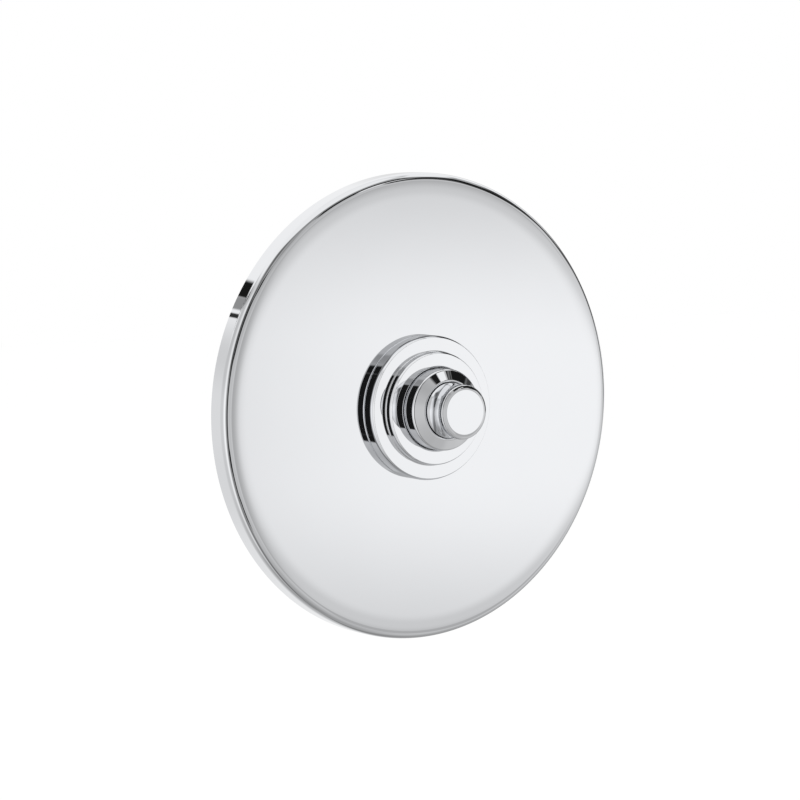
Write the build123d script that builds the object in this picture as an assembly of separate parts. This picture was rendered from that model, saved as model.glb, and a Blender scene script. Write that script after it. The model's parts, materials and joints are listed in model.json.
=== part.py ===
from build123d import *
import os

# Round dual flush plate with two concentric push buttons and an air pump behind it, in millimetres.
# Pieces are drawn with Z out of the wall and Y up, from the wall plane at Z = 0.
# They are then turned to stand with Z up and the face towards -Y.

# Face plate, a spun dish with a rolled front edge
plate_dia = 200.0
plate_depth = 10.6
plate_sheet = 1.2
plate_edge_radius = 4.7

# Rosette, turned in two steps whose walls lean in towards a crisp edge
rosette_wall = 1.75
tier_step = 6.75
tier_base_radius = 0.7
tier_1_height = 6.6
tier_1_lean = 1.0
tier_1_lean_height = 1.2
tier_1_swell_radius = 3.0
tier_2_height = 3.8
tier_2_lean = 0.8
tier_2_lean_height = 0.9
tier_2_swell_radius = 1.2
tier_edge_radius = 0.2
tier_root_radius = 0.45
rosette_lip = 1.6
rosette_mouth_radius = 0.8

# Full flush collar
collar_ring = 5.5
collar_stand = 6.4
collar_cone_height = 2.6
collar_edge_radius = 1.3
collar_mouth_radius = 0.8
collar_skirt = 2.0
collar_thread_length = 6.0
full_flush_travel = 5.0

# Half flush knob, a spool with a bevelled head
knob_head_dia = 23.1
knob_base_dia = 23.0
knob_waist_dia = 20.8
knob_face_dia = 20.0
knob_neck_length = 9.1
knob_rim_height = 1.0
knob_bevel_height = 0.8
knob_face_radius = 2.5
knob_rim_radius = 0.8
knob_inset = 5.6
knob_gap = 0.4
half_flush_travel = 6.0

# Knob stem
stem_dia = 6.0
stem_grip = 9.0
stem_tail_dia = 5.0
stem_tail_past_nut = 1.0
nut_across_flats = 8.0
nut_height = 4.0

# Guide bush of the collar
bush_wall = 2.9
bush_length = 3.7

# Washer between the plate and the cover
plate_washer_width = 4.1

# Pump: a ring cylinder round a small one
ring_chamber = 11.6
pump_wall = 2.5
pump_floor = 3.0
pump_depth = 34.0
pump_edge_radius = 1.0
pump_relief = 0.3
pump_relief_length = 1.0
inner_wall = 1.9
stop_ledge = 1.4
flange_margin = 1.5
body_flange = 2.5
cover_flange = 2.5
barrel_gap = 1.0
barrel_wall = 3.6

# Ribs on the rear of the pump
rib_count = 6
rib_width = 1.8
rib_height = 3.0
rib_inset = 2.0

# Pistons
ring_piston_height = 7.0
disc_piston_height = 7.0
sleeve_wall = 2.2
sleeve_gap = 0.75
gland_flange = 2.0
gland_plug = 8.0

# Seals and springs
seal_section = 2.2
pump_seal_section = 1.8
ring_spring_wire = 1.4
ring_spring_turns = 4
disc_spring_gap = 1.6
disc_spring_wire = 1.0
disc_spring_turns = 5

# Cover screws, countersunk with a hexagon socket
screw_land = 1.45
screw_count = 4
screw_dia = 4.0
screw_head_dia = 7.6
screw_socket = 2.5
screw_socket_depth = 1.4

# Mounting bracket, a steel bar with a round middle
bracket_sheet = 2.5
bracket_end = 9.0
bracket_width = 26.0
bracket_margin = 3.0
bracket_slot_spacing = 124.0
bracket_slot_length = 10.0
bracket_slot_width = 5.2

# Hose tails
boss_dia = 13.0
boss_height = 5.5
shank_dia = 8.0
shank_length = 7.0
port_dia = 2.5
hex_across_flats = 11.0
hex_height = 5.0
spigot_dia = 4.2
spigot_length = 12.0
spigot_chamfer = 0.5
nipple_washer_height = 1.0

# Clearances
running_clearance = 0.06
seal_clearance = 0.05
thread_clearance = 0.05
piston_clearance = 0.15
gap_clearance = 0.2
hole_clearance = 0.3
stop_clearance = 0.1
tail_clearance = 0.6
groove_clearance = 0.1

# Heights above the wall plane
face_z = plate_depth
plate_inner_z = face_z - plate_sheet
tier_1_z = face_z + tier_1_height
tier_2_z = tier_1_z + tier_2_height
lip_z = tier_2_z - rosette_lip
bush_rear_z = lip_z - bush_length
pump_top_z = bracket_sheet + body_flange
cover_top_z = pump_top_z + cover_flange
barrel_top_z = bush_rear_z - stop_clearance
collar_edge_z = tier_2_z + collar_stand
collar_mouth_z = collar_edge_z + collar_cone_height
collar_tail_z = cover_top_z + full_flush_travel + tail_clearance
collar_shoulder_z = collar_tail_z + collar_thread_length
knob_tail_z = collar_mouth_z - knob_inset
knob_head_z = collar_mouth_z + knob_neck_length
knob_bevel_z = knob_head_z + knob_rim_height
knob_face_z = knob_bevel_z + knob_bevel_height
ring_piston_top_z = pump_top_z - stop_clearance
ring_piston_rear_z = ring_piston_top_z - ring_piston_height
disc_piston_top_z = pump_top_z - gland_plug - stop_clearance
disc_piston_rear_z = disc_piston_top_z - disc_piston_height
nut_rear_z = disc_piston_rear_z - nut_height
ring_stop_z = ring_piston_rear_z - full_flush_travel - stop_clearance
disc_stop_z = disc_piston_rear_z - half_flush_travel - stop_clearance
floor_z = pump_top_z - pump_depth
pump_rear_z = floor_z - pump_floor
boss_rear_z = pump_rear_z - boss_height
hex_front_z = boss_rear_z - nipple_washer_height
hex_rear_z = hex_front_z - hex_height

# Radii that pieces share, from the knob outwards
knob_radius = knob_base_dia / 2
collar_bore_radius = knob_radius + knob_gap
collar_radius = collar_bore_radius + collar_ring
collar_thread_radius = collar_radius - collar_skirt
bush_radius = collar_radius + running_clearance + bush_wall
barrel_radius = collar_radius + barrel_gap + barrel_wall
tier_2_radius = barrel_radius + thread_clearance + rosette_wall
tier_1_radius = tier_2_radius + tier_step
sleeve_radius = collar_thread_radius - thread_clearance
sleeve_bore_radius = sleeve_radius - sleeve_wall
inner_tube_radius = sleeve_bore_radius - sleeve_gap
inner_bore_radius = inner_tube_radius - inner_wall
bore_radius = inner_tube_radius + ring_chamber
pump_radius = bore_radius + pump_wall
register_radius = pump_radius + pump_relief
screw_radius = screw_dia / 2
screw_circle_radius = register_radius + gap_clearance + screw_land + screw_radius + thread_clearance
flange_radius = screw_circle_radius + screw_head_dia / 2 + gap_clearance + flange_margin
bracket_middle_radius = flange_radius + bracket_margin
pump_seal_radius = (bore_radius + screw_circle_radius - screw_radius - hole_clearance) / 2
ring_middle_radius = (inner_tube_radius + bore_radius - stop_ledge) / 2
disc_spring_radius = inner_bore_radius - stop_ledge - disc_spring_gap - disc_spring_wire / 2
bracket_length = bracket_slot_spacing + bracket_slot_length + 2 * bracket_end
port_places = {"half_flush": (0, 0), "full_flush": (0, -ring_middle_radius)}


def round_corners(section, corners):
    """Round the corners of a flat section that are given with a radius."""
    for x, y, radius in corners:
        if radius:
            corner = section.vertices().sort_by_distance((x, y, 0))[0]
            section = fillet(corner, radius)
    return section


def turned(*corners):
    """A turned piece, from (radius, height) or (radius, height, rounding) corners of its section."""
    corners = [(*corner, 0)[:3] for corner in corners]
    outline = Polyline(*[corner[:2] for corner in corners], close=True)
    section = round_corners(make_face(outline), corners)
    return revolve(Plane.XZ * section, Axis.Z)


def ring(inner_radius, outer_radius, bottom, top):
    """A plain ring of square section."""
    return turned((inner_radius, bottom), (outer_radius, bottom), (outer_radius, top), (inner_radius, top))


def pin(radius, bottom, top):
    """A plain round rod on the axis."""
    return Pos(0, 0, bottom) * extrude(Circle(radius), top - bottom)


def seal_ring(mean_radius, section_dia, height):
    """A round rubber ring, centred at a height."""
    return revolve(Plane.XZ * Pos(mean_radius, height) * Circle(section_dia / 2), Axis.Z)


def coil_spring(mean_radius, wire_dia, turns, bottom, top):
    """A compression spring that stands between two heights."""
    height = top - bottom - wire_dia
    path = Helix(pitch=height / turns, height=height, radius=mean_radius)
    wire = sweep(Plane(path @ 0, z_dir=path % 0) * Circle(wire_dia / 2), path)
    return Pos(0, 0, bottom + wire_dia / 2) * wire


def hexagon_bar(across_flats, bottom, top):
    """A hexagon bar on the axis."""
    outline = RegularPolygon(across_flats / 2, 6, major_radius=False)
    return Pos(0, 0, bottom) * extrude(outline, top - bottom)


def screw_places():
    """The places of the cover screws, on the diagonals."""
    return PolarLocations(screw_circle_radius, screw_count, start_angle=45)


def make_face_plate():
    rim = plate_dia / 2
    hole = barrel_radius + hole_clearance
    inner_radius = plate_edge_radius - plate_sheet
    return turned(
        (hole, plate_inner_z), (rim - plate_sheet, plate_inner_z, inner_radius), (rim - plate_sheet, 0),
        (rim, 0), (rim, face_z, plate_edge_radius), (hole, face_z))


def make_rosette():
    thread = barrel_radius + thread_clearance
    seat = bush_radius + thread_clearance
    mouth = collar_radius + gap_clearance
    return turned(
        (thread, face_z), (tier_1_radius, face_z, tier_base_radius),
        (tier_1_radius, tier_1_z - tier_1_lean_height, tier_1_swell_radius),
        (tier_1_radius - tier_1_lean, tier_1_z, tier_edge_radius),
        (tier_2_radius, tier_1_z, tier_root_radius),
        (tier_2_radius, tier_2_z - tier_2_lean_height, tier_2_swell_radius),
        (tier_2_radius - tier_2_lean, tier_2_z, tier_edge_radius),
        (mouth, tier_2_z, rosette_mouth_radius), (mouth, lip_z), (seat, lip_z), (seat, bush_rear_z),
        (thread, bush_rear_z))


def make_collar():
    bore = collar_bore_radius
    return turned(
        (collar_thread_radius, collar_tail_z), (collar_radius, collar_tail_z),
        (collar_radius, collar_edge_z, collar_edge_radius), (bore, collar_mouth_z, collar_mouth_radius),
        (bore, collar_shoulder_z), (collar_thread_radius, collar_shoulder_z))


def make_knob():
    base = (knob_radius, collar_mouth_z)
    waist = (knob_waist_dia / 2, collar_mouth_z + knob_neck_length / 2)
    head = (knob_head_dia / 2, knob_head_z)
    bevel = (knob_head_dia / 2, knob_bevel_z)
    face = (knob_face_dia / 2, knob_face_z)
    outline = [
        Polyline((0, knob_face_z), (0, knob_tail_z), (knob_radius, knob_tail_z), base),
        ThreePointArc(base, waist, head),
        Polyline(head, bevel, face, (0, knob_face_z))]
    section = make_face(outline)
    section = round_corners(section, [(*bevel, knob_rim_radius), (*face, knob_face_radius)])
    knob = revolve(Plane.XZ * section, Axis.Z)
    return knob - pin(stem_dia / 2 + thread_clearance, knob_tail_z, knob_tail_z + stem_grip)


def make_collar_bush():
    return ring(collar_radius + running_clearance, bush_radius, bush_rear_z, lip_z)


def make_knob_stem():
    stem = pin(stem_dia / 2, disc_piston_top_z, knob_tail_z + stem_grip - stop_clearance)
    return stem + pin(stem_tail_dia / 2, nut_rear_z - stem_tail_past_nut, disc_piston_top_z)


def make_piston_nut():
    nut = hexagon_bar(nut_across_flats, nut_rear_z, disc_piston_rear_z)
    return nut - pin(stem_tail_dia / 2 + thread_clearance, nut_rear_z, disc_piston_rear_z)


def make_stem_gland():
    bore = stem_dia / 2 + running_clearance
    plug = inner_bore_radius - thread_clearance
    plug_rear_z = pump_top_z - gland_plug
    flange_z = pump_top_z + gland_flange
    return turned(
        (bore, plug_rear_z), (plug, plug_rear_z), (plug, pump_top_z),
        (inner_tube_radius, pump_top_z), (inner_tube_radius, flange_z), (bore, flange_z))


def seal_groove(inner_radius, outer_radius, height):
    """The space of a ring seal's groove, centred at a height."""
    half_width = seal_section / 2 + groove_clearance
    return ring(inner_radius, outer_radius, height - half_width, height + half_width)


half_seal_radius = inner_bore_radius - seal_clearance - seal_section / 2
half_seal_z = (disc_piston_top_z + disc_piston_rear_z) / 2
outer_seal_radius = bore_radius - seal_clearance - seal_section / 2
inner_seal_radius = inner_tube_radius + seal_clearance + seal_section / 2
ring_seal_z = (ring_piston_top_z + ring_piston_rear_z) / 2
groove_reach = seal_section / 2 + groove_clearance


def make_half_flush_piston():
    outside = inner_bore_radius - piston_clearance
    piston = ring(stem_tail_dia / 2 + thread_clearance, outside, disc_piston_rear_z, disc_piston_top_z)
    return piston - seal_groove(half_seal_radius - groove_reach, inner_bore_radius, half_seal_z)


def make_full_flush_piston():
    inside = inner_tube_radius + piston_clearance
    outside = bore_radius - piston_clearance
    sleeve_top_z = collar_shoulder_z - stop_clearance
    piston = turned(
        (inside, ring_piston_rear_z), (outside, ring_piston_rear_z), (outside, ring_piston_top_z),
        (sleeve_radius, ring_piston_top_z), (sleeve_radius, sleeve_top_z), (sleeve_bore_radius, sleeve_top_z),
        (sleeve_bore_radius, ring_piston_top_z), (inside, ring_piston_top_z))
    piston -= seal_groove(outer_seal_radius - groove_reach, bore_radius, ring_seal_z)
    return piston - seal_groove(inner_tube_radius, inner_seal_radius + groove_reach, ring_seal_z)


def port_space(place):
    """The threaded hole and the air way of one hose tail."""
    shank_front_z = boss_rear_z + shank_length
    space = pin(shank_dia / 2 + thread_clearance, boss_rear_z, shank_front_z)
    return Pos(*place) * (space + pin(port_dia / 2, shank_front_z, floor_z))


def make_pump_body():
    bore = bore_radius
    inner_bore = inner_bore_radius
    relief_z = -pump_relief_length
    body = turned(
        (0, pump_rear_z), (pump_radius, pump_rear_z, pump_edge_radius), (pump_radius, relief_z),
        (pump_radius - pump_relief, relief_z), (pump_radius - pump_relief, 0),
        (register_radius, 0), (register_radius, bracket_sheet), (flange_radius, bracket_sheet),
        (flange_radius, pump_top_z), (bore, pump_top_z), (bore, ring_stop_z),
        (bore - stop_ledge, ring_stop_z), (bore - stop_ledge, floor_z), (inner_tube_radius, floor_z),
        (inner_tube_radius, pump_top_z), (inner_bore, pump_top_z), (inner_bore, disc_stop_z),
        (inner_bore - stop_ledge, disc_stop_z), (inner_bore - stop_ledge, floor_z), (0, floor_z))
    groove = pump_seal_section / 2 + groove_clearance
    groove_floor_z = pump_top_z - pump_seal_section - groove_clearance
    body -= ring(pump_seal_radius - groove, pump_seal_radius + groove, groove_floor_z, pump_top_z)
    for place in screw_places():
        body -= place * pin(screw_radius + gap_clearance, bracket_sheet, pump_top_z)
    rib_reach = pump_radius - rib_inset
    rib = extrude(Pos(rib_reach / 2, 0) * Rectangle(rib_reach, rib_width), rib_height)
    for turn in PolarLocations(0, rib_count):
        body += Pos(0, 0, pump_rear_z - rib_height) * turn * rib
    for place in port_places.values():
        body += Pos(*place) * pin(boss_dia / 2, boss_rear_z, pump_rear_z)
        body -= port_space(place)
    return body


def make_pump_seal():
    return seal_ring(pump_seal_radius, pump_seal_section, pump_top_z - pump_seal_section / 2)


def screw_blank(clearance):
    """The outside of one countersunk screw, made larger all round by a clearance."""
    head = screw_head_dia / 2 + clearance
    shank = screw_radius + clearance
    cone_z = cover_top_z - (head - shank)
    return turned((0, 0), (shank, 0), (shank, cone_z), (head, cover_top_z), (0, cover_top_z))


def make_pump_cover():
    bore = barrel_radius - barrel_wall
    guide = sleeve_radius + running_clearance
    cover = turned(
        (guide, pump_top_z), (flange_radius, pump_top_z), (flange_radius, cover_top_z),
        (barrel_radius, cover_top_z), (barrel_radius, barrel_top_z), (bore, barrel_top_z),
        (bore, cover_top_z), (guide, cover_top_z))
    for place in screw_places():
        cover -= place * screw_blank(gap_clearance)
    return cover


def make_cover_screws():
    socket = hexagon_bar(screw_socket, cover_top_z - screw_socket_depth, cover_top_z)
    screw = screw_blank(0) - socket
    return Compound([place * screw for place in screw_places()])


def make_mounting_bracket():
    outline = SlotOverall(bracket_length, bracket_width) + Circle(bracket_middle_radius)
    outline -= Circle(register_radius + gap_clearance)
    for side in (-1, 1):
        outline -= Pos(side * bracket_slot_spacing / 2, 0) * SlotOverall(bracket_slot_length, bracket_slot_width)
    for place in screw_places():
        outline -= place * Circle(screw_radius + thread_clearance)
    return extrude(outline, bracket_sheet)


def make_plate_washer():
    inside = barrel_radius + hole_clearance
    return ring(inside, inside + plate_washer_width, cover_top_z, plate_inner_z)


def make_nipple(place):
    nipple = pin(shank_dia / 2, hex_front_z, boss_rear_z + shank_length - stop_clearance)
    nipple += hexagon_bar(hex_across_flats, hex_rear_z, hex_front_z)
    end_z = hex_rear_z - spigot_length
    spigot = spigot_dia / 2
    nipple += turned(
        (0, end_z), (spigot - spigot_chamfer, end_z), (spigot, end_z + spigot_chamfer),
        (spigot, hex_rear_z), (0, hex_rear_z))
    return Pos(*place) * (nipple - pin(port_dia / 2, end_z, boss_rear_z + shank_length))


def make_nipple_washers():
    washer = ring(shank_dia / 2 + thread_clearance, hex_across_flats / 2, hex_front_z, boss_rear_z)
    return Compound([Pos(*place) * washer for place in port_places.values()])


pieces = {
    "face_plate": make_face_plate(),
    "rosette": make_rosette(),
    "full_flush_collar": make_collar(),
    "half_flush_knob": make_knob(),
    "collar_bush": make_collar_bush(),
    "knob_stem": make_knob_stem(),
    "piston_nut": make_piston_nut(),
    "stem_gland": make_stem_gland(),
    "half_flush_piston": make_half_flush_piston(),
    "half_flush_seal": seal_ring(half_seal_radius, seal_section, half_seal_z),
    "half_flush_spring": coil_spring(
        disc_spring_radius, disc_spring_wire, disc_spring_turns, floor_z, disc_piston_rear_z),
    "full_flush_piston": make_full_flush_piston(),
    "full_flush_outer_seal": seal_ring(outer_seal_radius, seal_section, ring_seal_z),
    "full_flush_inner_seal": seal_ring(inner_seal_radius, seal_section, ring_seal_z),
    "full_flush_spring": coil_spring(
        ring_middle_radius, ring_spring_wire, ring_spring_turns, floor_z, ring_piston_rear_z),
    "pump_body": make_pump_body(),
    "pump_seal": make_pump_seal(),
    "pump_cover": make_pump_cover(),
    "cover_screws": make_cover_screws(),
    "mounting_bracket": make_mounting_bracket(),
    "plate_washer": make_plate_washer(),
    "half_flush_nipple": make_nipple(port_places["half_flush"]),
    "full_flush_nipple": make_nipple(port_places["full_flush"]),
    "nipple_washers": make_nipple_washers(),
}

os.makedirs("parts", exist_ok=True)
for name, piece in pieces.items():
    export_step(Rot(90, 0, 0) * piece, f"parts/{name}.step")
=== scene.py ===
# %% [markdown]
# # A round dual flush plate
# This lesson dresses a CAD model of a chromed flush plate for a wall. A dished plate carries a stepped
# rosette, and in the rosette sit two push buttons on one axis: a collar for the full flush and a knob for
# the reduced one. Behind the plate a steel bracket holds the air pump that the buttons work.
# The CAD model comes in as a fixed frame. We keep its sizes and its moving bodies, turn the polished pieces
# again with smooth round edges, and give every piece a finish.

import json
import math

import bmesh
import bpy
from mathutils import Matrix, Vector


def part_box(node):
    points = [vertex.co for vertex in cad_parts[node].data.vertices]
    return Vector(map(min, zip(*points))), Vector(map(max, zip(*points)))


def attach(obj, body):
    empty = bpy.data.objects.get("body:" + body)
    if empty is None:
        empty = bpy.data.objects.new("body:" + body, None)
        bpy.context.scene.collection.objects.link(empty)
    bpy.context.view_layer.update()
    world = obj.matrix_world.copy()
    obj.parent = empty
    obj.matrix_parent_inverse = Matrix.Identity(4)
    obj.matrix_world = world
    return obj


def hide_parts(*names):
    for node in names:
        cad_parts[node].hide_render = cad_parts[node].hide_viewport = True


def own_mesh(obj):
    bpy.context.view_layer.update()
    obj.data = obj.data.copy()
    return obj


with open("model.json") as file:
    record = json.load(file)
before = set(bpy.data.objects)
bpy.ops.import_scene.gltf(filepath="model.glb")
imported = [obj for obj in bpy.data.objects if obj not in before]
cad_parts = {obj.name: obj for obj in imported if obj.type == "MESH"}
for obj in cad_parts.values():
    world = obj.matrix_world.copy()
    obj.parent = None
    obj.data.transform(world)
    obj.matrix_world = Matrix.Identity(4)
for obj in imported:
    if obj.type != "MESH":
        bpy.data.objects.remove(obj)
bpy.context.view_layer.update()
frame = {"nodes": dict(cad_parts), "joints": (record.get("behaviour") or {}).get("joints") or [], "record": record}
mm = 0.001

# %% [markdown]
# ## The camera
# The picture looks at the plate from its left and a little above, through a long lens that hardly tapers
# the round shapes. A camera could be placed by hand, but four numbers say the same: two angles, a distance
# and a focal length. The plate stands a little right of the middle, so the camera aims beside its axis
# instead of shifting its lens, which would stay in every other view.

# %% Place the camera
view_azimuth = math.radians(-34.76)
view_elevation = math.radians(5.01)
view_distance = 1.440
view_lens = 151.4
picture_size = 800
axis_in_picture = (420.94, 406.63)
front_ring = Vector((0, -8.53 * mm, 0))

camera_back = Vector((
    math.sin(view_azimuth) * math.cos(view_elevation),
    -math.cos(view_azimuth) * math.cos(view_elevation),
    math.sin(view_elevation)))
camera_turn = (-camera_back).to_track_quat("-Z", "Y")
camera_data = bpy.data.cameras.new("plate_camera")
camera_data.lens = view_lens
metres_per_pixel = view_distance * camera_data.sensor_width / view_lens / picture_size
beside = camera_turn @ Vector((
    picture_size / 2 - axis_in_picture[0], axis_in_picture[1] - picture_size / 2, 0)) * metres_per_pixel
camera = bpy.data.objects.new("plate_camera", camera_data)
camera.location = front_ring + camera_back * view_distance + beside
camera.rotation_mode = "QUATERNION"
camera.rotation_quaternion = camera_turn
bpy.context.scene.collection.objects.link(camera)
bpy.context.scene.camera = camera
print("camera stands at", [round(v, 3) for v in camera.location])

# %% [markdown]
# ## The studio
# Chrome has no colour of its own to speak of: it shows the room. A photographer builds that room from a white
# tent, bright panels and dark flags. Here the world plays the room. It is white for the camera, an even
# grey for rough surfaces, and for mirrors a sky on which soft patches are laid, each with a place, a size
# and a level. The direction of a ray is turned into an azimuth and an elevation, as on a globe, and each
# patch is a pair of soft steps in those two angles.

# %% Lay the patches of the sky
bpy.context.scene.view_settings.view_transform = "Standard"
world = bpy.data.worlds.new("studio")
world.use_nodes = True
bpy.context.scene.world = world
sky = world.node_tree
sky.nodes.clear()


def sky_node(kind, *inputs, **settings):
    """A node of the sky, with its settings and its inputs, which are values or other sockets."""
    node = sky.nodes.new(kind)
    for name, value in settings.items():
        setattr(node, name, value)
    for socket, value in zip(node.inputs, inputs):
        if isinstance(value, bpy.types.NodeSocket):
            sky.links.new(value, socket)
        elif value is not None:
            socket.default_value = value
    return node.outputs[0]


def sky_math(operation, *inputs):
    return sky_node("ShaderNodeMath", *inputs, operation=operation)


direction = sky.nodes.new("ShaderNodeTexCoord").outputs["Generated"]
split = sky.nodes.new("ShaderNodeSeparateXYZ")
sky.links.new(direction, split.inputs[0])
to_degrees = 180 / math.pi
sky_azimuth = sky_math(
    "MULTIPLY", sky_math("ARCTAN2", split.outputs[0], sky_math("MULTIPLY", split.outputs[1], -1.0)), to_degrees)
sky_elevation = sky_math("MULTIPLY", sky_math("ARCSINE", split.outputs[2]), to_degrees)


def soft_step(angle, centre, half_size, edge):
    """1 within half_size of the centre, 0 past a soft edge."""
    away = sky_math("ABSOLUTE", sky_math("SUBTRACT", angle, centre))
    return sky_node(
        "ShaderNodeMapRange", away, half_size - edge / 2, half_size + edge / 2, 1.0, 0.0,
        interpolation_type="SMOOTHSTEP")


def profile(angle, reach, stops):
    """A level that runs through (angle, level) stops, for angles from -reach to reach degrees."""
    share = sky_node("ShaderNodeMapRange", angle, -reach, reach, 0.0, 1.0)
    band = sky_node("ShaderNodeValToRGB", share)
    ramp = band.node.color_ramp
    ramp.interpolation = "EASE"
    while len(ramp.elements) < len(stops):
        ramp.elements.new(0.5)
    for element, (at, level) in zip(ramp.elements, stops):
        element.position = (at + reach) / (2 * reach)
        element.color = (level, level, level, 1)
    return band


round_the_room = (
    (-180, 0.92), (-148, 0.78), (-120, 0.68), (-92, 0.69), (-80, 0.93), (-68, 1.08), (-60, 0.85), (-52, 0.35),
    (-42, 0.25), (-30, 0.38), (-23, 0.57), (-17, 0.61), (-5, 0.56), (10, 0.6), (24, 0.65), (37, 0.66),
    (52, 0.74), (68, 0.7), (88, 0.55), (110, 0.46), (135, 0.46), (150, 0.95), (180, 0.92))
up_the_room = (
    (-90, 0.5), (-70, 0.55), (-50, 0.75), (-30, 0.92), (-8, 1.0), (0, 1.0), (11, 0.88), (27, 0.8), (38, 0.85),
    (50, 0.5), (58, 0.45), (68, 0.75), (90, 0.95))
level = sky_math("MULTIPLY", profile(sky_azimuth, 180, round_the_room), profile(sky_elevation, 90, up_the_room))
panel_azimuth, panel_half_width, panel_side_edge = 38, 6.9, 10
panel_elevation, panel_half_height, panel_top_edge = -5.2, 3.0, 4
bright_panel = sky_math(
    "MULTIPLY", soft_step(sky_azimuth, panel_azimuth, panel_half_width, panel_side_edge),
    soft_step(sky_elevation, panel_elevation, panel_half_height, panel_top_edge))
level = sky_node("ShaderNodeMix", bright_panel, None, level, 1.0)
sky_patches = (
    # azimuth, elevation, half width, half height, edge, level
    # shades inside the plate's edge, a bright gap on the collar's cone, a grey on the tier walls
    (24, -5, 4.5, 14, 5, 0.45),
    (42, -26, 18, 12, 5, 0.45),
    (32, 36, 7, 3, 1.5, 0.98),
    (-8, 37, 8, 5, 5, 0.3),
    (35, 6, 14, 4, 5, 0.47),
    # the bright tent behind and above, in two halves where the azimuth starts again
    (165, 40, 65, 22, 12, 0.95),
    (-195, 40, 65, 22, 12, 0.95),
    (-125, 65, 55, 18, 12, 0.95),
    (0, 80, 200, 18, 8, 0.92),
    # small dark things at the left, on the plate's rim
    (-156, 26.8, 9, 1.6, 0.8, 0.01),
    (-140, 32, 8, 2, 1, 0.01),
    (-125, 38.5, 8, 2.5, 1, 0.02),
    (-152, 24, 8, 1.3, 0.6, 0.3),
    (-150, 21.3, 8, 0.5, 0.4, 0.03),
    # a tall dark flag at the left, on the walls of the tiers and the collar
    (-45, 25, 9, 15, 8, 0.08),
    (-35, -4, 5.5, 17, 4, 0.01),
    (-29, 20, 6.5, 10, 3, 0.01),
    (-22, 31, 7, 5, 3, 0.01),
    (-29, -21, 5.5, 8, 3, 0.01),
    (-24, -30, 5.5, 5, 2, 0.01),
    # dark flags high at the right, on the cone, the knob's bevel and the plate's upper edge
    (17, 38, 7, 3.5, 2, 0.01),
    (27, 45.2, 21, 5.8, 1, 0.02),
    (50, 39, 8, 4, 1.5, 0.02),
    (62, 31, 12, 12, 3, 0.01),
    (80, 53, 22, 7, 3, 0.95),
    (41, 28.5, 9, 6.5, 2, 0.03),
    (50, 22, 5, 5, 3, 0.05),
    (84, 24, 12, 12, 5, 0.05),
    (90, 4, 6, 10, 4, 0.05),
    (108, 9, 14, 6, 5, 0.08),
)
for azimuth, elevation, half_width, half_height, edge, patch_level in sky_patches:
    cover = sky_math(
        "MULTIPLY", soft_step(sky_azimuth, azimuth, half_width, edge),
        soft_step(sky_elevation, elevation, half_height, edge))
    level = sky_node("ShaderNodeMix", cover, None, level, patch_level)
print("patches on the sky:", len(sky_patches))

# %% [markdown]
# ## Who sees what
# The light path tells the world which kind of ray asks. The camera gets plain white, so the picture has a
# clean background. Mirrors get the sky with its patches, and everything else gets an even level, at which a
# matt surface shows the colour that it was given.

# %% Join the sky to the world
even_level = 0.8
paths = sky.nodes.new("ShaderNodeLightPath")
mirror_or_even = sky_node("ShaderNodeMix", paths.outputs["Is Glossy Ray"], None, even_level, level)
for_all = sky_node("ShaderNodeMix", paths.outputs["Is Camera Ray"], None, mirror_or_even, 1.0)
background = sky.nodes.new("ShaderNodeBackground")
background.inputs["Color"].default_value = (1, 1, 1, 1)
sky.links.new(for_all, background.inputs["Strength"])
out = sky.nodes.new("ShaderNodeOutputWorld")
sky.links.new(background.outputs[0], out.inputs[0])
print("even level for matt surfaces:", even_level)

# %% [markdown]
# ## Lamp and floor
# One large soft lamp above the left shoulder of the camera gives matt pieces a light and a shaded side. The
# floor lies well below the plate, which hangs on a wall in use, so its shadow falls out of the picture. The
# floor is hidden from mirrors, because the sky already holds what they should show from below.

# %% Hang the lamp and lay the floor
lamp_data = bpy.data.lights.new("soft_lamp", "AREA")
lamp_data.shape = "DISK"
lamp_data.size = 1.2
lamp_data.energy = 9.0
lamp = bpy.data.objects.new("soft_lamp", lamp_data)
lamp.location = (-1.0, -1.1, 1.3)
lamp.rotation_mode = "QUATERNION"
lamp.rotation_quaternion = (-lamp.location).to_track_quat("-Z", "Y")
lamp.visible_glossy = False
bpy.context.scene.collection.objects.link(lamp)

floor_drop = 0.45
floor_mesh = bpy.data.meshes.new("floor")
bm = bmesh.new()
bmesh.ops.create_grid(bm, x_segments=1, y_segments=1, size=6.0)
bmesh.ops.translate(bm, verts=bm.verts, vec=(0, 0, -floor_drop))
bm.to_mesh(floor_mesh)
bm.free()
floor = bpy.data.objects.new("floor", floor_mesh)
floor.visible_glossy = False
bpy.context.scene.collection.objects.link(floor)

floor_paint = bpy.data.materials.new("floor_paint")
floor_paint.use_nodes = True
floor_nodes = floor_paint.node_tree
floor_nodes.nodes.clear()
matt_white = floor_nodes.nodes.new("ShaderNodeBsdfDiffuse")
matt_white.inputs["Color"].default_value = (0.75, 0.75, 0.75, 1)
glow = floor_nodes.nodes.new("ShaderNodeEmission")
floor_paths = floor_nodes.nodes.new("ShaderNodeLightPath")
lift = floor_nodes.nodes.new("ShaderNodeMath")
lift.operation = "MULTIPLY"
lift.inputs[1].default_value = 0.4
floor_nodes.links.new(floor_paths.outputs["Is Camera Ray"], lift.inputs[0])
floor_nodes.links.new(lift.outputs[0], glow.inputs["Strength"])
both = floor_nodes.nodes.new("ShaderNodeAddShader")
floor_nodes.links.new(matt_white.outputs[0], both.inputs[0])
floor_nodes.links.new(glow.outputs[0], both.inputs[1])
floor_out = floor_nodes.nodes.new("ShaderNodeOutputMaterial")
floor_nodes.links.new(both.outputs[0], floor_out.inputs[0])
floor_mesh.materials.append(floor_paint)
print("floor lies", floor_drop, "m below the axis")

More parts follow.
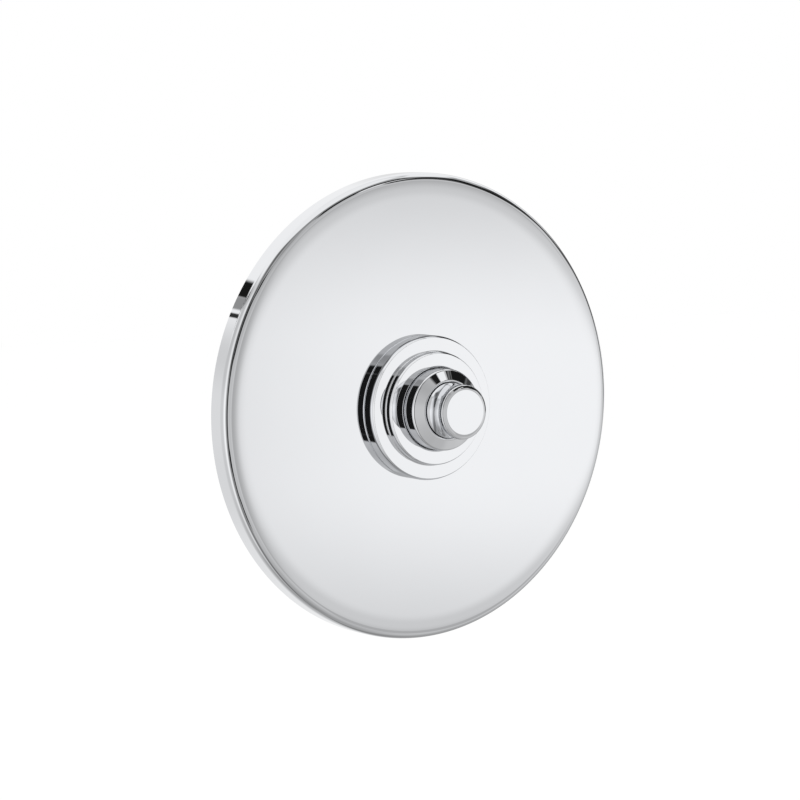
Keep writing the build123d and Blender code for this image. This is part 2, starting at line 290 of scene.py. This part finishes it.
# %% [markdown]
# ## A finish for each material
# Nothing on the plate is one flat colour. Plating has a faint haze, moulded plastic a fine grain, sheet steel
# the lines of its rolling. Each finish here starts from the same recipe: a noise on the object's own
# coordinates drifts between two colours and between two roughnesses, and a finer noise raises a bump. A
# stretched noise turns grain into lines.

# %% Write the recipe for a finish
def finish(name, colours, roughness, metallic=0.0, patch=0.02, grain=0.0005, bump=0.0, stretch=(1, 1, 1)):
    """A material that drifts between two colours and two roughnesses, with a fine bump."""
    material = bpy.data.materials.new(name)
    material.use_nodes = True
    tree = material.node_tree
    shader = tree.nodes["Principled BSDF"]
    shader.inputs["Metallic"].default_value = metallic
    place = tree.nodes.new("ShaderNodeTexCoord")
    lines = tree.nodes.new("ShaderNodeMapping")
    lines.inputs["Scale"].default_value = stretch
    tree.links.new(place.outputs["Object"], lines.inputs["Vector"])
    cloud = tree.nodes.new("ShaderNodeTexNoise")
    cloud.inputs["Scale"].default_value = 1 / patch
    cloud.inputs["Detail"].default_value = 4
    tree.links.new(lines.outputs[0], cloud.inputs["Vector"])
    tint = tree.nodes.new("ShaderNodeMix")
    tint.data_type = "RGBA"
    tint.inputs["A"].default_value = (*colours[0], 1)
    tint.inputs["B"].default_value = (*colours[1], 1)
    tree.links.new(cloud.outputs["Fac"], tint.inputs["Factor"])
    tree.links.new(tint.outputs["Result"], shader.inputs["Base Color"])
    haze = tree.nodes.new("ShaderNodeMapRange")
    haze.inputs["From Min"].default_value = 0.3
    haze.inputs["From Max"].default_value = 0.7
    haze.inputs["To Min"].default_value = roughness[0]
    haze.inputs["To Max"].default_value = roughness[1]
    tree.links.new(cloud.outputs["Fac"], haze.inputs["Value"])
    tree.links.new(haze.outputs[0], shader.inputs["Roughness"])
    if bump:
        fine = tree.nodes.new("ShaderNodeTexNoise")
        fine.inputs["Scale"].default_value = 1 / grain
        fine.inputs["Detail"].default_value = 2
        tree.links.new(lines.outputs[0], fine.inputs["Vector"])
        raised = tree.nodes.new("ShaderNodeBump")
        raised.inputs["Strength"].default_value = 0.3
        raised.inputs["Distance"].default_value = bump
        tree.links.new(fine.outputs["Fac"], raised.inputs["Height"])
        tree.links.new(raised.outputs[0], shader.inputs["Normal"])
    return material


# %% Mix the finishes
finishes = {
    "chrome_plating": finish(
        "chrome_plating", ((0.86, 0.87, 0.89), (0.88, 0.89, 0.91)), (0.01, 0.03), metallic=1.0, patch=0.03),
    "white_acetal": finish(
        "white_acetal", ((0.86, 0.86, 0.83), (0.9, 0.9, 0.87)), (0.38, 0.48), grain=0.0004, bump=0.00002),
    "grey_plastic": finish(
        "grey_plastic", ((0.18, 0.19, 0.2), (0.22, 0.23, 0.24)), (0.42, 0.55), grain=0.0003, bump=0.00004),
    "black_rubber": finish(
        "black_rubber", ((0.04, 0.04, 0.04), (0.06, 0.06, 0.06)), (0.6, 0.8), grain=0.0004, bump=0.00004),
    "spring_wire": finish(
        "spring_wire", ((0.58, 0.58, 0.56), (0.66, 0.66, 0.64)), (0.25, 0.35), metallic=1.0, patch=0.004),
    "stainless_rod": finish(
        "stainless_rod", ((0.64, 0.64, 0.63), (0.72, 0.72, 0.71)), (0.2, 0.32), metallic=1.0, patch=0.004,
        stretch=(1, 12, 1)),
    "zinc_plating": finish(
        "zinc_plating", ((0.66, 0.67, 0.68), (0.74, 0.75, 0.76)), (0.25, 0.4), metallic=1.0, patch=0.003),
    "bracket_steel": finish(
        "bracket_steel", ((0.56, 0.57, 0.58), (0.64, 0.65, 0.66)), (0.28, 0.42), metallic=1.0, patch=0.03,
        grain=0.002, bump=0.00002, stretch=(1, 4, 40)),
    "bare_brass": finish(
        "bare_brass", ((0.68, 0.51, 0.24), (0.76, 0.59, 0.3)), (0.2, 0.34), metallic=1.0, patch=0.004),
}
print("finishes:", ", ".join(sorted(finishes)))

# %% [markdown]
# ## Dress the CAD pieces
# Each CAD piece names the slot that its finish comes from, so a loop hands the finishes out.

# %% Hand the finishes out
for subpart in frame["record"]["subparts"]:
    mesh = frame["nodes"][subpart["node"]].data
    mesh.materials.clear()
    mesh.materials.append(finishes[subpart["material_slot"]])

# %% [markdown]
# ## Turning a piece
# The plate, the rosette, the collar and the knob are all round about one axis. A lathe makes such a piece from
# its section, and so does a spin: a few corners are joined by edges, swept once round the Y axis, and then
# the rings at the rounded corners are bevelled. A bevel keeps the rounding tangent to both its sides, which
# matters on chrome, where every kink shows. Weighted normals then keep the flat faces flat to the eye.

# %% Write the turning helper
turn_steps = 256
bevel_segments = 16


def section_offset(before, corner, after, rounding):
    """How far a rounding reaches from its corner along both sides."""
    into = (Vector(corner[:2]) - Vector(before[:2]))
    out_of = (Vector(after[:2]) - Vector(corner[:2]))
    return rounding * math.tan(into.angle(out_of) / 2)


def turned(name, corners):
    """A mesh turned about the Y axis from the (radius, y, rounding) corners of its section."""
    bm = bmesh.new()
    points = [bm.verts.new((corner[0], corner[1], 0)) for corner in corners]
    ends = list(zip(points, points[1:] + points[:1]))
    if corners[0][0] == 0 and corners[-1][0] == 0:
        ends.pop()
    sides = [bm.edges.new(pair) for pair in ends]
    bmesh.ops.spin(
        bm, geom=points + sides, cent=(0, 0, 0), axis=(0, 1, 0), angle=2 * math.pi, steps=turn_steps,
        use_merge=True)
    bmesh.ops.remove_doubles(bm, verts=bm.verts, dist=1e-7)
    bmesh.ops.recalc_face_normals(bm, faces=bm.faces)
    for i, corner in enumerate(corners):
        if len(corner) == 3:
            ring = [edge for edge in bm.edges if all(
                abs(math.hypot(v.co.x, v.co.z) - corner[0]) < 1e-6 and abs(v.co.y - corner[1]) < 1e-6
                for v in edge.verts)]
            reach = section_offset(corners[i - 1], corner, corners[(i + 1) % len(corners)], corner[2])
            bmesh.ops.bevel(
                bm, geom=ring, offset=reach, offset_type="OFFSET", segments=bevel_segments, profile=0.5,
                affect="EDGES", material=-1)
    for face in bm.faces:
        face.smooth = True
    for edge in bm.edges:
        edge.smooth = edge.calc_face_angle(0) < math.radians(30)
    mesh = bpy.data.meshes.new(name)
    bm.to_mesh(mesh)
    bm.free()
    return mesh


def place_piece(name, mesh, body, slot, *cad_nodes):
    """An object for a finished mesh, riding a body in place of CAD nodes."""
    mesh.materials.append(finishes[slot])
    piece = bpy.data.objects.new(name, mesh)
    bpy.context.scene.collection.objects.link(piece)
    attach(piece, body)
    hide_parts(*cad_nodes)
    return piece


def keep_flats_flat(piece):
    """Weighted normals, so that a flat face isn't shaded by the rounding beside it."""
    modifier = piece.modifiers.new("keep_flats_flat", "WEIGHTED_NORMAL")
    modifier.keep_sharp = True
    modifier.weight = 100


print("a full turn has", turn_steps, "steps")

# %% [markdown]
# ## The face plate
# The plate is a shallow dish of sheet brass, spun over a form and plated. Spinning leaves no sudden bend: the
# flat face first leans back more and more, up to three degrees, then rolls over the front edge, and the rim
# runs straight back to the wall. On chrome that lean shows as a soft shade inside the edge. A bevel makes so
# slight a bend flat, so the lean is drawn ring by ring, with a slope that grows with the square of the way.
# The wall of the dish has the same thickness all the way, so the inner rounding is smaller by the sheet.

# %% Turn the face plate
plate_low, plate_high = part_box("face_plate")
plate_radius = plate_high.x
face_y = plate_low.y
sheet = 1.2 * mm
plate_edge = 3.7 * mm
lean_slope = math.tan(math.radians(3.0))
lean_start, lean_end = plate_radius - 11.0 * mm, plate_radius - 3.65 * mm
lean_width = lean_end - lean_start
lean_rings = 24
lean = []
for i in range(lean_rings + 1):
    share = i / lean_rings
    lean.append((lean_start + share * lean_width, face_y + lean_slope / 3 * share ** 3 * lean_width))
edge_y = lean[-1][1] + (plate_radius - lean_end) * lean_slope
inner_radius = plate_radius - sheet
plate_hole = 22.3 * mm
plate = place_piece("face_plate_turned", turned("face_plate_turned", [
    (plate_hole, face_y + sheet), (lean_end, lean[-1][1] + sheet),
    (inner_radius, edge_y + sheet * (1 - lean_slope), plate_edge - sheet), (inner_radius, 0), (plate_radius, 0),
    (plate_radius, edge_y, plate_edge), *reversed(lean), (plate_hole, face_y),
]), "plate_body", "chrome_plating", "face_plate")
keep_flats_flat(plate)
print("face plate", round(2 * plate_radius / mm, 1), "mm across,", len(plate.data.polygons), "faces")

# %% [markdown]
# ## The inside of the dish
# Polish and thick plating cost money, so only the side that shows gets them. The hollow side keeps the satin
# of the spun sheet under a thin coat of nickel. It is the same piece of metal, so instead of a second mesh its
# finish asks which way a point faces: a normal that looks back or in towards the axis belongs to the hollow.

# %% Dull the hollow side
def satin_inside(material, name, radius, colour, roughness):
    """A copy of a finish that turns satin where a dish of this radius faces back or in."""
    copy = material.copy()
    copy.name = name
    tree = copy.node_tree
    shader = tree.nodes["Principled BSDF"]
    place = tree.nodes.new("ShaderNodeTexCoord")
    to_hollow = tree.nodes.new("ShaderNodeMapping")
    to_hollow.inputs["Location"].default_value = (0, 1, 0)
    to_hollow.inputs["Scale"].default_value = (-1 / radius, 0, -1 / radius)
    tree.links.new(place.outputs["Object"], to_hollow.inputs["Vector"])
    facing = tree.nodes.new("ShaderNodeVectorMath")
    facing.operation = "DOT_PRODUCT"
    tree.links.new(place.outputs["Normal"], facing.inputs[0])
    tree.links.new(to_hollow.outputs[0], facing.inputs[1])
    inside = tree.nodes.new("ShaderNodeMath")
    inside.operation = "GREATER_THAN"
    inside.inputs[1].default_value = 0.0
    tree.links.new(facing.outputs["Value"], inside.inputs[0])
    tint = tree.nodes.new("ShaderNodeMix")
    tint.data_type = "RGBA"
    tree.links.new(inside.outputs[0], tint.inputs["Factor"])
    tree.links.new(shader.inputs["Base Color"].links[0].from_socket, tint.inputs["A"])
    tint.inputs["B"].default_value = (*colour, 1)
    tree.links.new(tint.outputs["Result"], shader.inputs["Base Color"])
    satin = tree.nodes.new("ShaderNodeMix")
    tree.links.new(inside.outputs[0], satin.inputs["Factor"])
    tree.links.new(shader.inputs["Roughness"].links[0].from_socket, satin.inputs["A"])
    satin.inputs["B"].default_value = roughness
    tree.links.new(satin.outputs["Result"], shader.inputs["Roughness"])
    return copy


plate.data.materials[0] = satin_inside(
    finishes["chrome_plating"], "dish_plating", plate_radius, colour=(0.67, 0.67, 0.65), roughness=0.26)
print("the hollow side of", plate.name, "is satin")

# %% [markdown]
# ## The rosette
# The rosette screws on the pump's barrel and clamps the plate. It is turned in two steps. Each wall rises
# straight from the step below, swells over and leans in to a crisp edge, so that its mirror image breaks into
# two bands. The inner corner between the steps has the small rounding that a lathe tool leaves.

# %% Turn the rosette
rosette_low, rosette_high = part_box("rosette")
tier_fullness = 0.4 * mm
tier_1_radius = rosette_high.x + tier_fullness
tier_2_radius = 24.2 * mm
tier_1_y = face_y - 6.6 * mm
tier_2_y = rosette_low.y
foot_1, foot_2 = 0.7 * mm, 0.45 * mm
swell_1, swell_2 = 3.0 * mm, 1.2 * mm
lean_height_1, lean_height_2 = 1.2 * mm, 0.9 * mm
lean_in_1, lean_in_2 = 0.8 * mm, 0.6 * mm
crisp_edge = 0.15 * mm
mouth_rounding = 0.8 * mm
rosette_mouth = 17.6 * mm
rosette_thread = 22.05 * mm
bush_seat = 20.41 * mm
lip_y = tier_2_y + 1.6 * mm
bush_y = lip_y + 3.7 * mm
rosette = place_piece("rosette_turned", turned("rosette_turned", [
    (rosette_thread, face_y), (tier_1_radius, face_y, foot_1),
    (tier_1_radius, tier_1_y + lean_height_1, swell_1), (tier_1_radius - lean_in_1, tier_1_y, crisp_edge),
    (tier_2_radius, tier_1_y, foot_2),
    (tier_2_radius, tier_2_y + lean_height_2, swell_2), (tier_2_radius - lean_in_2, tier_2_y, crisp_edge),
    (rosette_mouth, tier_2_y, mouth_rounding), (rosette_mouth, lip_y), (bush_seat, lip_y), (bush_seat, bush_y),
    (rosette_thread, bush_y),
]), "plate_body", "chrome_plating", "rosette")
keep_flats_flat(rosette)
print("rosette", round(2 * tier_1_radius / mm, 1), "mm across,", len(rosette.data.polygons), "faces")

# %% [markdown]
# ## The full flush collar
# The collar is the ring round the knob. A hand presses it for a full flush. Its face is a low cone that
# rises to the mouth, where a bead rolls into the bore.

# %% Turn the collar
collar_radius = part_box("full_flush_collar")[1].x
collar_tail_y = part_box("full_flush_collar")[1].y
collar_thread = 15.4 * mm
collar_bore = 11.9 * mm
collar_wall, collar_rise, collar_thread_length = 6.4 * mm, 2.6 * mm, 6.0 * mm
collar_edge, collar_bead = 1.3 * mm, 0.8 * mm
collar_edge_y = tier_2_y - collar_wall
collar_mouth_y = collar_edge_y - collar_rise
collar_shoulder_y = collar_tail_y - collar_thread_length
collar = place_piece("full_flush_collar_turned", turned("full_flush_collar_turned", [
    (collar_thread, collar_tail_y), (collar_radius, collar_tail_y), (collar_radius, collar_edge_y, collar_edge),
    (collar_bore, collar_mouth_y, collar_bead), (collar_bore, collar_shoulder_y),
    (collar_thread, collar_shoulder_y),
]), "full_flush_button", "chrome_plating", "full_flush_collar")
keep_flats_flat(collar)
print("collar", round(2 * collar_radius / mm, 1), "mm across,", len(collar.data.polygons), "faces")

# %% [markdown]
# ## The reduced flush knob
# The knob is a spool: a hollow neck between a base that slides in the collar and a head with a bevelled face.
# The neck is one long concave rounding, so the section has a single corner there, deeper than the neck
# itself, and the bevel rounds it.

# %% Turn the knob
knob_low, knob_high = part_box("half_flush_knob")
knob_head = knob_high.x
knob_base = 11.7 * mm
knob_face = 10.0 * mm
knob_face_y = knob_low.y
knob_tail_y = knob_high.y
knob_bevel, knob_rim, stem_grip = 0.8 * mm, 1.0 * mm, 9.0 * mm
rim_rounding, face_rounding = 0.8 * mm, 2.5 * mm
knob_bevel_y = knob_face_y + knob_bevel
knob_head_y = knob_bevel_y + knob_rim
neck_corner = 9.13 * mm
neck_rounding = 9.65 * mm
stem_hole = 3.05 * mm
stem_hole_y = knob_tail_y - stem_grip
knob = place_piece("half_flush_knob_turned", turned("half_flush_knob_turned", [
    (0, stem_hole_y), (stem_hole, stem_hole_y), (stem_hole, knob_tail_y), (knob_base, knob_tail_y),
    (knob_base, collar_mouth_y), (neck_corner, (collar_mouth_y + knob_head_y) / 2, neck_rounding),
    (knob_head, knob_head_y), (knob_head, knob_bevel_y, rim_rounding), (knob_face, knob_face_y, face_rounding),
    (0, knob_face_y),
]), "half_flush_button", "chrome_plating", "half_flush_knob")
keep_flats_flat(knob)
print("knob", round(2 * knob_head / mm, 1), "mm across,", len(knob.data.polygons), "faces")

# %% [markdown]
# ## The return springs
# A spring stands behind each piston and shortens when its button is pressed. A circle of wire is swept round
# the axis with a climb at each step, which makes the helix in one operator. One spring is wound for each joint,
# in place of the CAD spring that the joint names.

# %% Wind the springs
wire_sides = 12
steps_per_turn = 40
wires = {"full_flush_spring": (1.4 * mm, 4), "half_flush_spring": (1.0 * mm, 5)}


def wound(name, cad_node, wire, turns):
    """A helix of wire that fills the box of a CAD spring."""
    low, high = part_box(cad_node)
    climb = high.y - low.y - wire
    bm = bmesh.new()
    wire_ring = bmesh.ops.create_circle(bm, cap_ends=False, segments=wire_sides, radius=wire / 2)["verts"]
    bmesh.ops.translate(bm, verts=wire_ring, vec=(high.x - wire / 2, low.y + wire / 2, 0))
    steps = steps_per_turn * turns
    bmesh.ops.spin(
        bm, geom=wire_ring + list(bm.edges), cent=(0, 0, 0), axis=(0, 1, 0), dvec=(0, climb / steps, 0),
        angle=2 * math.pi * turns, steps=steps)
    bmesh.ops.holes_fill(bm, edges=[edge for edge in bm.edges if edge.is_boundary], sides=wire_sides)
    bmesh.ops.recalc_face_normals(bm, faces=bm.faces)
    for face in bm.faces:
        face.smooth = len(face.verts) == 4
    mesh = bpy.data.meshes.new(name)
    bm.to_mesh(mesh)
    bm.free()
    return place_piece(name, mesh, "plate_body", "spring_wire", cad_node)


for joint in frame["joints"]:
    cad_node = joint["deforming_nodes"][0]["node"]
    wire, turns = wires[cad_node]
    spring = wound(cad_node + "_wound", cad_node, wire, turns)
    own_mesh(spring)

# %% [markdown]
# ## The hose tails
# Two brass tails carry the air hoses away from the pump. Such a tail is turned from hexagon bar: a threaded
# shank, a hexagon for the spanner, and a spigot with barbs that let a hose on and not off. The round stretch
# is turned as the plate was. The hexagon is a ring between a circle of six and a circle of many points, drawn
# out to its height, and a small bevel at its corners stands for the turned chamfer.

# %% Turn the hose tails
tail_bore = 1.25 * mm
tail_shank = 4.0 * mm
tail_root = 1.7 * mm
tail_barb = 2.1 * mm
tail_tip = 1.5 * mm
hexagon_flats = 11.0 * mm
hexagon_height = 5.0 * mm
hexagon_chamfer = 0.6 * mm
spigot_length = 12.0 * mm
barb_count = 3
barb_length = 2.9 * mm


def hose_tail(name, cad_node):
    """A brass hose tail on the axis of a CAD one."""
    low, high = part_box(cad_node)
    hexagon_y = high.y - spigot_length
    barbs = []
    for i in range(barb_count):
        barb_y = high.y - (i + 1) * barb_length
        barbs += [(tail_barb, barb_y), (tail_root, barb_y)]
    core = turned(name, [
        (tail_bore, low.y), (tail_shank, low.y), (tail_shank, hexagon_y - hexagon_height / 2),
        (tail_root, hexagon_y - hexagon_height / 2), *reversed(barbs), (tail_tip, high.y), (tail_bore, high.y)])
    bm = bmesh.new()
    for sides, radius in ((6, hexagon_flats / math.sqrt(3)), (48, tail_root)):
        bmesh.ops.create_circle(bm, segments=sides, radius=radius)
    corners = [vert for vert in bm.verts if vert.co.length > tail_barb]
    flat = bmesh.ops.triangle_fill(bm, edges=bm.edges, use_beauty=True)["geom"]
    flat = [face for face in flat if isinstance(face, bmesh.types.BMFace)]
    risen = bmesh.ops.extrude_face_region(bm, geom=flat)["geom"]
    risen = [vert for vert in risen if isinstance(vert, bmesh.types.BMVert)]
    bmesh.ops.translate(bm, verts=risen, vec=(0, 0, hexagon_height))
    corners += [vert for vert in risen if vert.co.xy.length > tail_barb]
    bmesh.ops.recalc_face_normals(bm, faces=bm.faces)
    bmesh.ops.bevel(
        bm, geom=corners, offset=hexagon_chamfer, segments=1, profile=0.5, affect="VERTICES", material=-1)
    turn_to_axis = Matrix.Rotation(math.radians(90), 4, "X")
    bmesh.ops.transform(bm, matrix=Matrix.Translation((0, hexagon_y, 0)) @ turn_to_axis, verts=bm.verts)
    bm.from_mesh(core)
    bmesh.ops.translate(bm, verts=bm.verts, vec=((low.x + high.x) / 2, 0, (low.z + high.z) / 2))
    bm.to_mesh(core)
    bm.free()
    return place_piece(name, core, "plate_body", "bare_brass", cad_node)


for cad_node in ("full_flush_nipple", "half_flush_nipple"):
    tail = hose_tail(cad_node + "_barbed", cad_node)
    print(tail.name, "has", barb_count, "barbs and", len(tail.data.polygons), "faces")

# %% [markdown]
# ## Soft edges behind the plate
# A moulded or pressed piece never has a knife edge, and a thin line of light along its edges is what tells it
# from a drawing. The CAD mesh is loose triangles, so a copy is merged, its flat faces are joined again, and a
# Bevel modifier rounds what stands at an angle. The shape and size stay those of the CAD piece.

# %% Soften the moulded and pressed pieces
edge_angle = math.radians(30)


def softened(cad_node, slot, width):
    """A copy of a CAD piece with rounded edges."""
    bm = bmesh.new()
    bm.from_mesh(frame["nodes"][cad_node].data)
    bmesh.ops.remove_doubles(bm, verts=bm.verts, dist=1e-6)
    bmesh.ops.dissolve_limit(bm, angle_limit=math.radians(0.5), verts=bm.verts, edges=bm.edges)
    for face in bm.faces:
        face.smooth = True
    for edge in bm.edges:
        edge.smooth = edge.calc_face_angle(0) < edge_angle
    mesh = bpy.data.meshes.new(cad_node + "_softened")
    bm.to_mesh(mesh)
    bm.free()
    piece = place_piece(cad_node + "_softened", mesh, "plate_body", slot, cad_node)
    rounding = piece.modifiers.new("soft_edges", "BEVEL")
    rounding.width = width
    rounding.segments = 2
    rounding.limit_method = "ANGLE"
    rounding.angle_limit = edge_angle
    rounding.harden_normals = True
    return piece


for cad_node, slot, width in (
        ("pump_body", "grey_plastic", 0.4 * mm), ("pump_cover", "grey_plastic", 0.4 * mm),
        ("mounting_bracket", "bracket_steel", 0.3 * mm)):
    piece = softened(cad_node, slot, width)
    print(piece.name, "has edges rounded by", round(width / mm, 2), "mm")
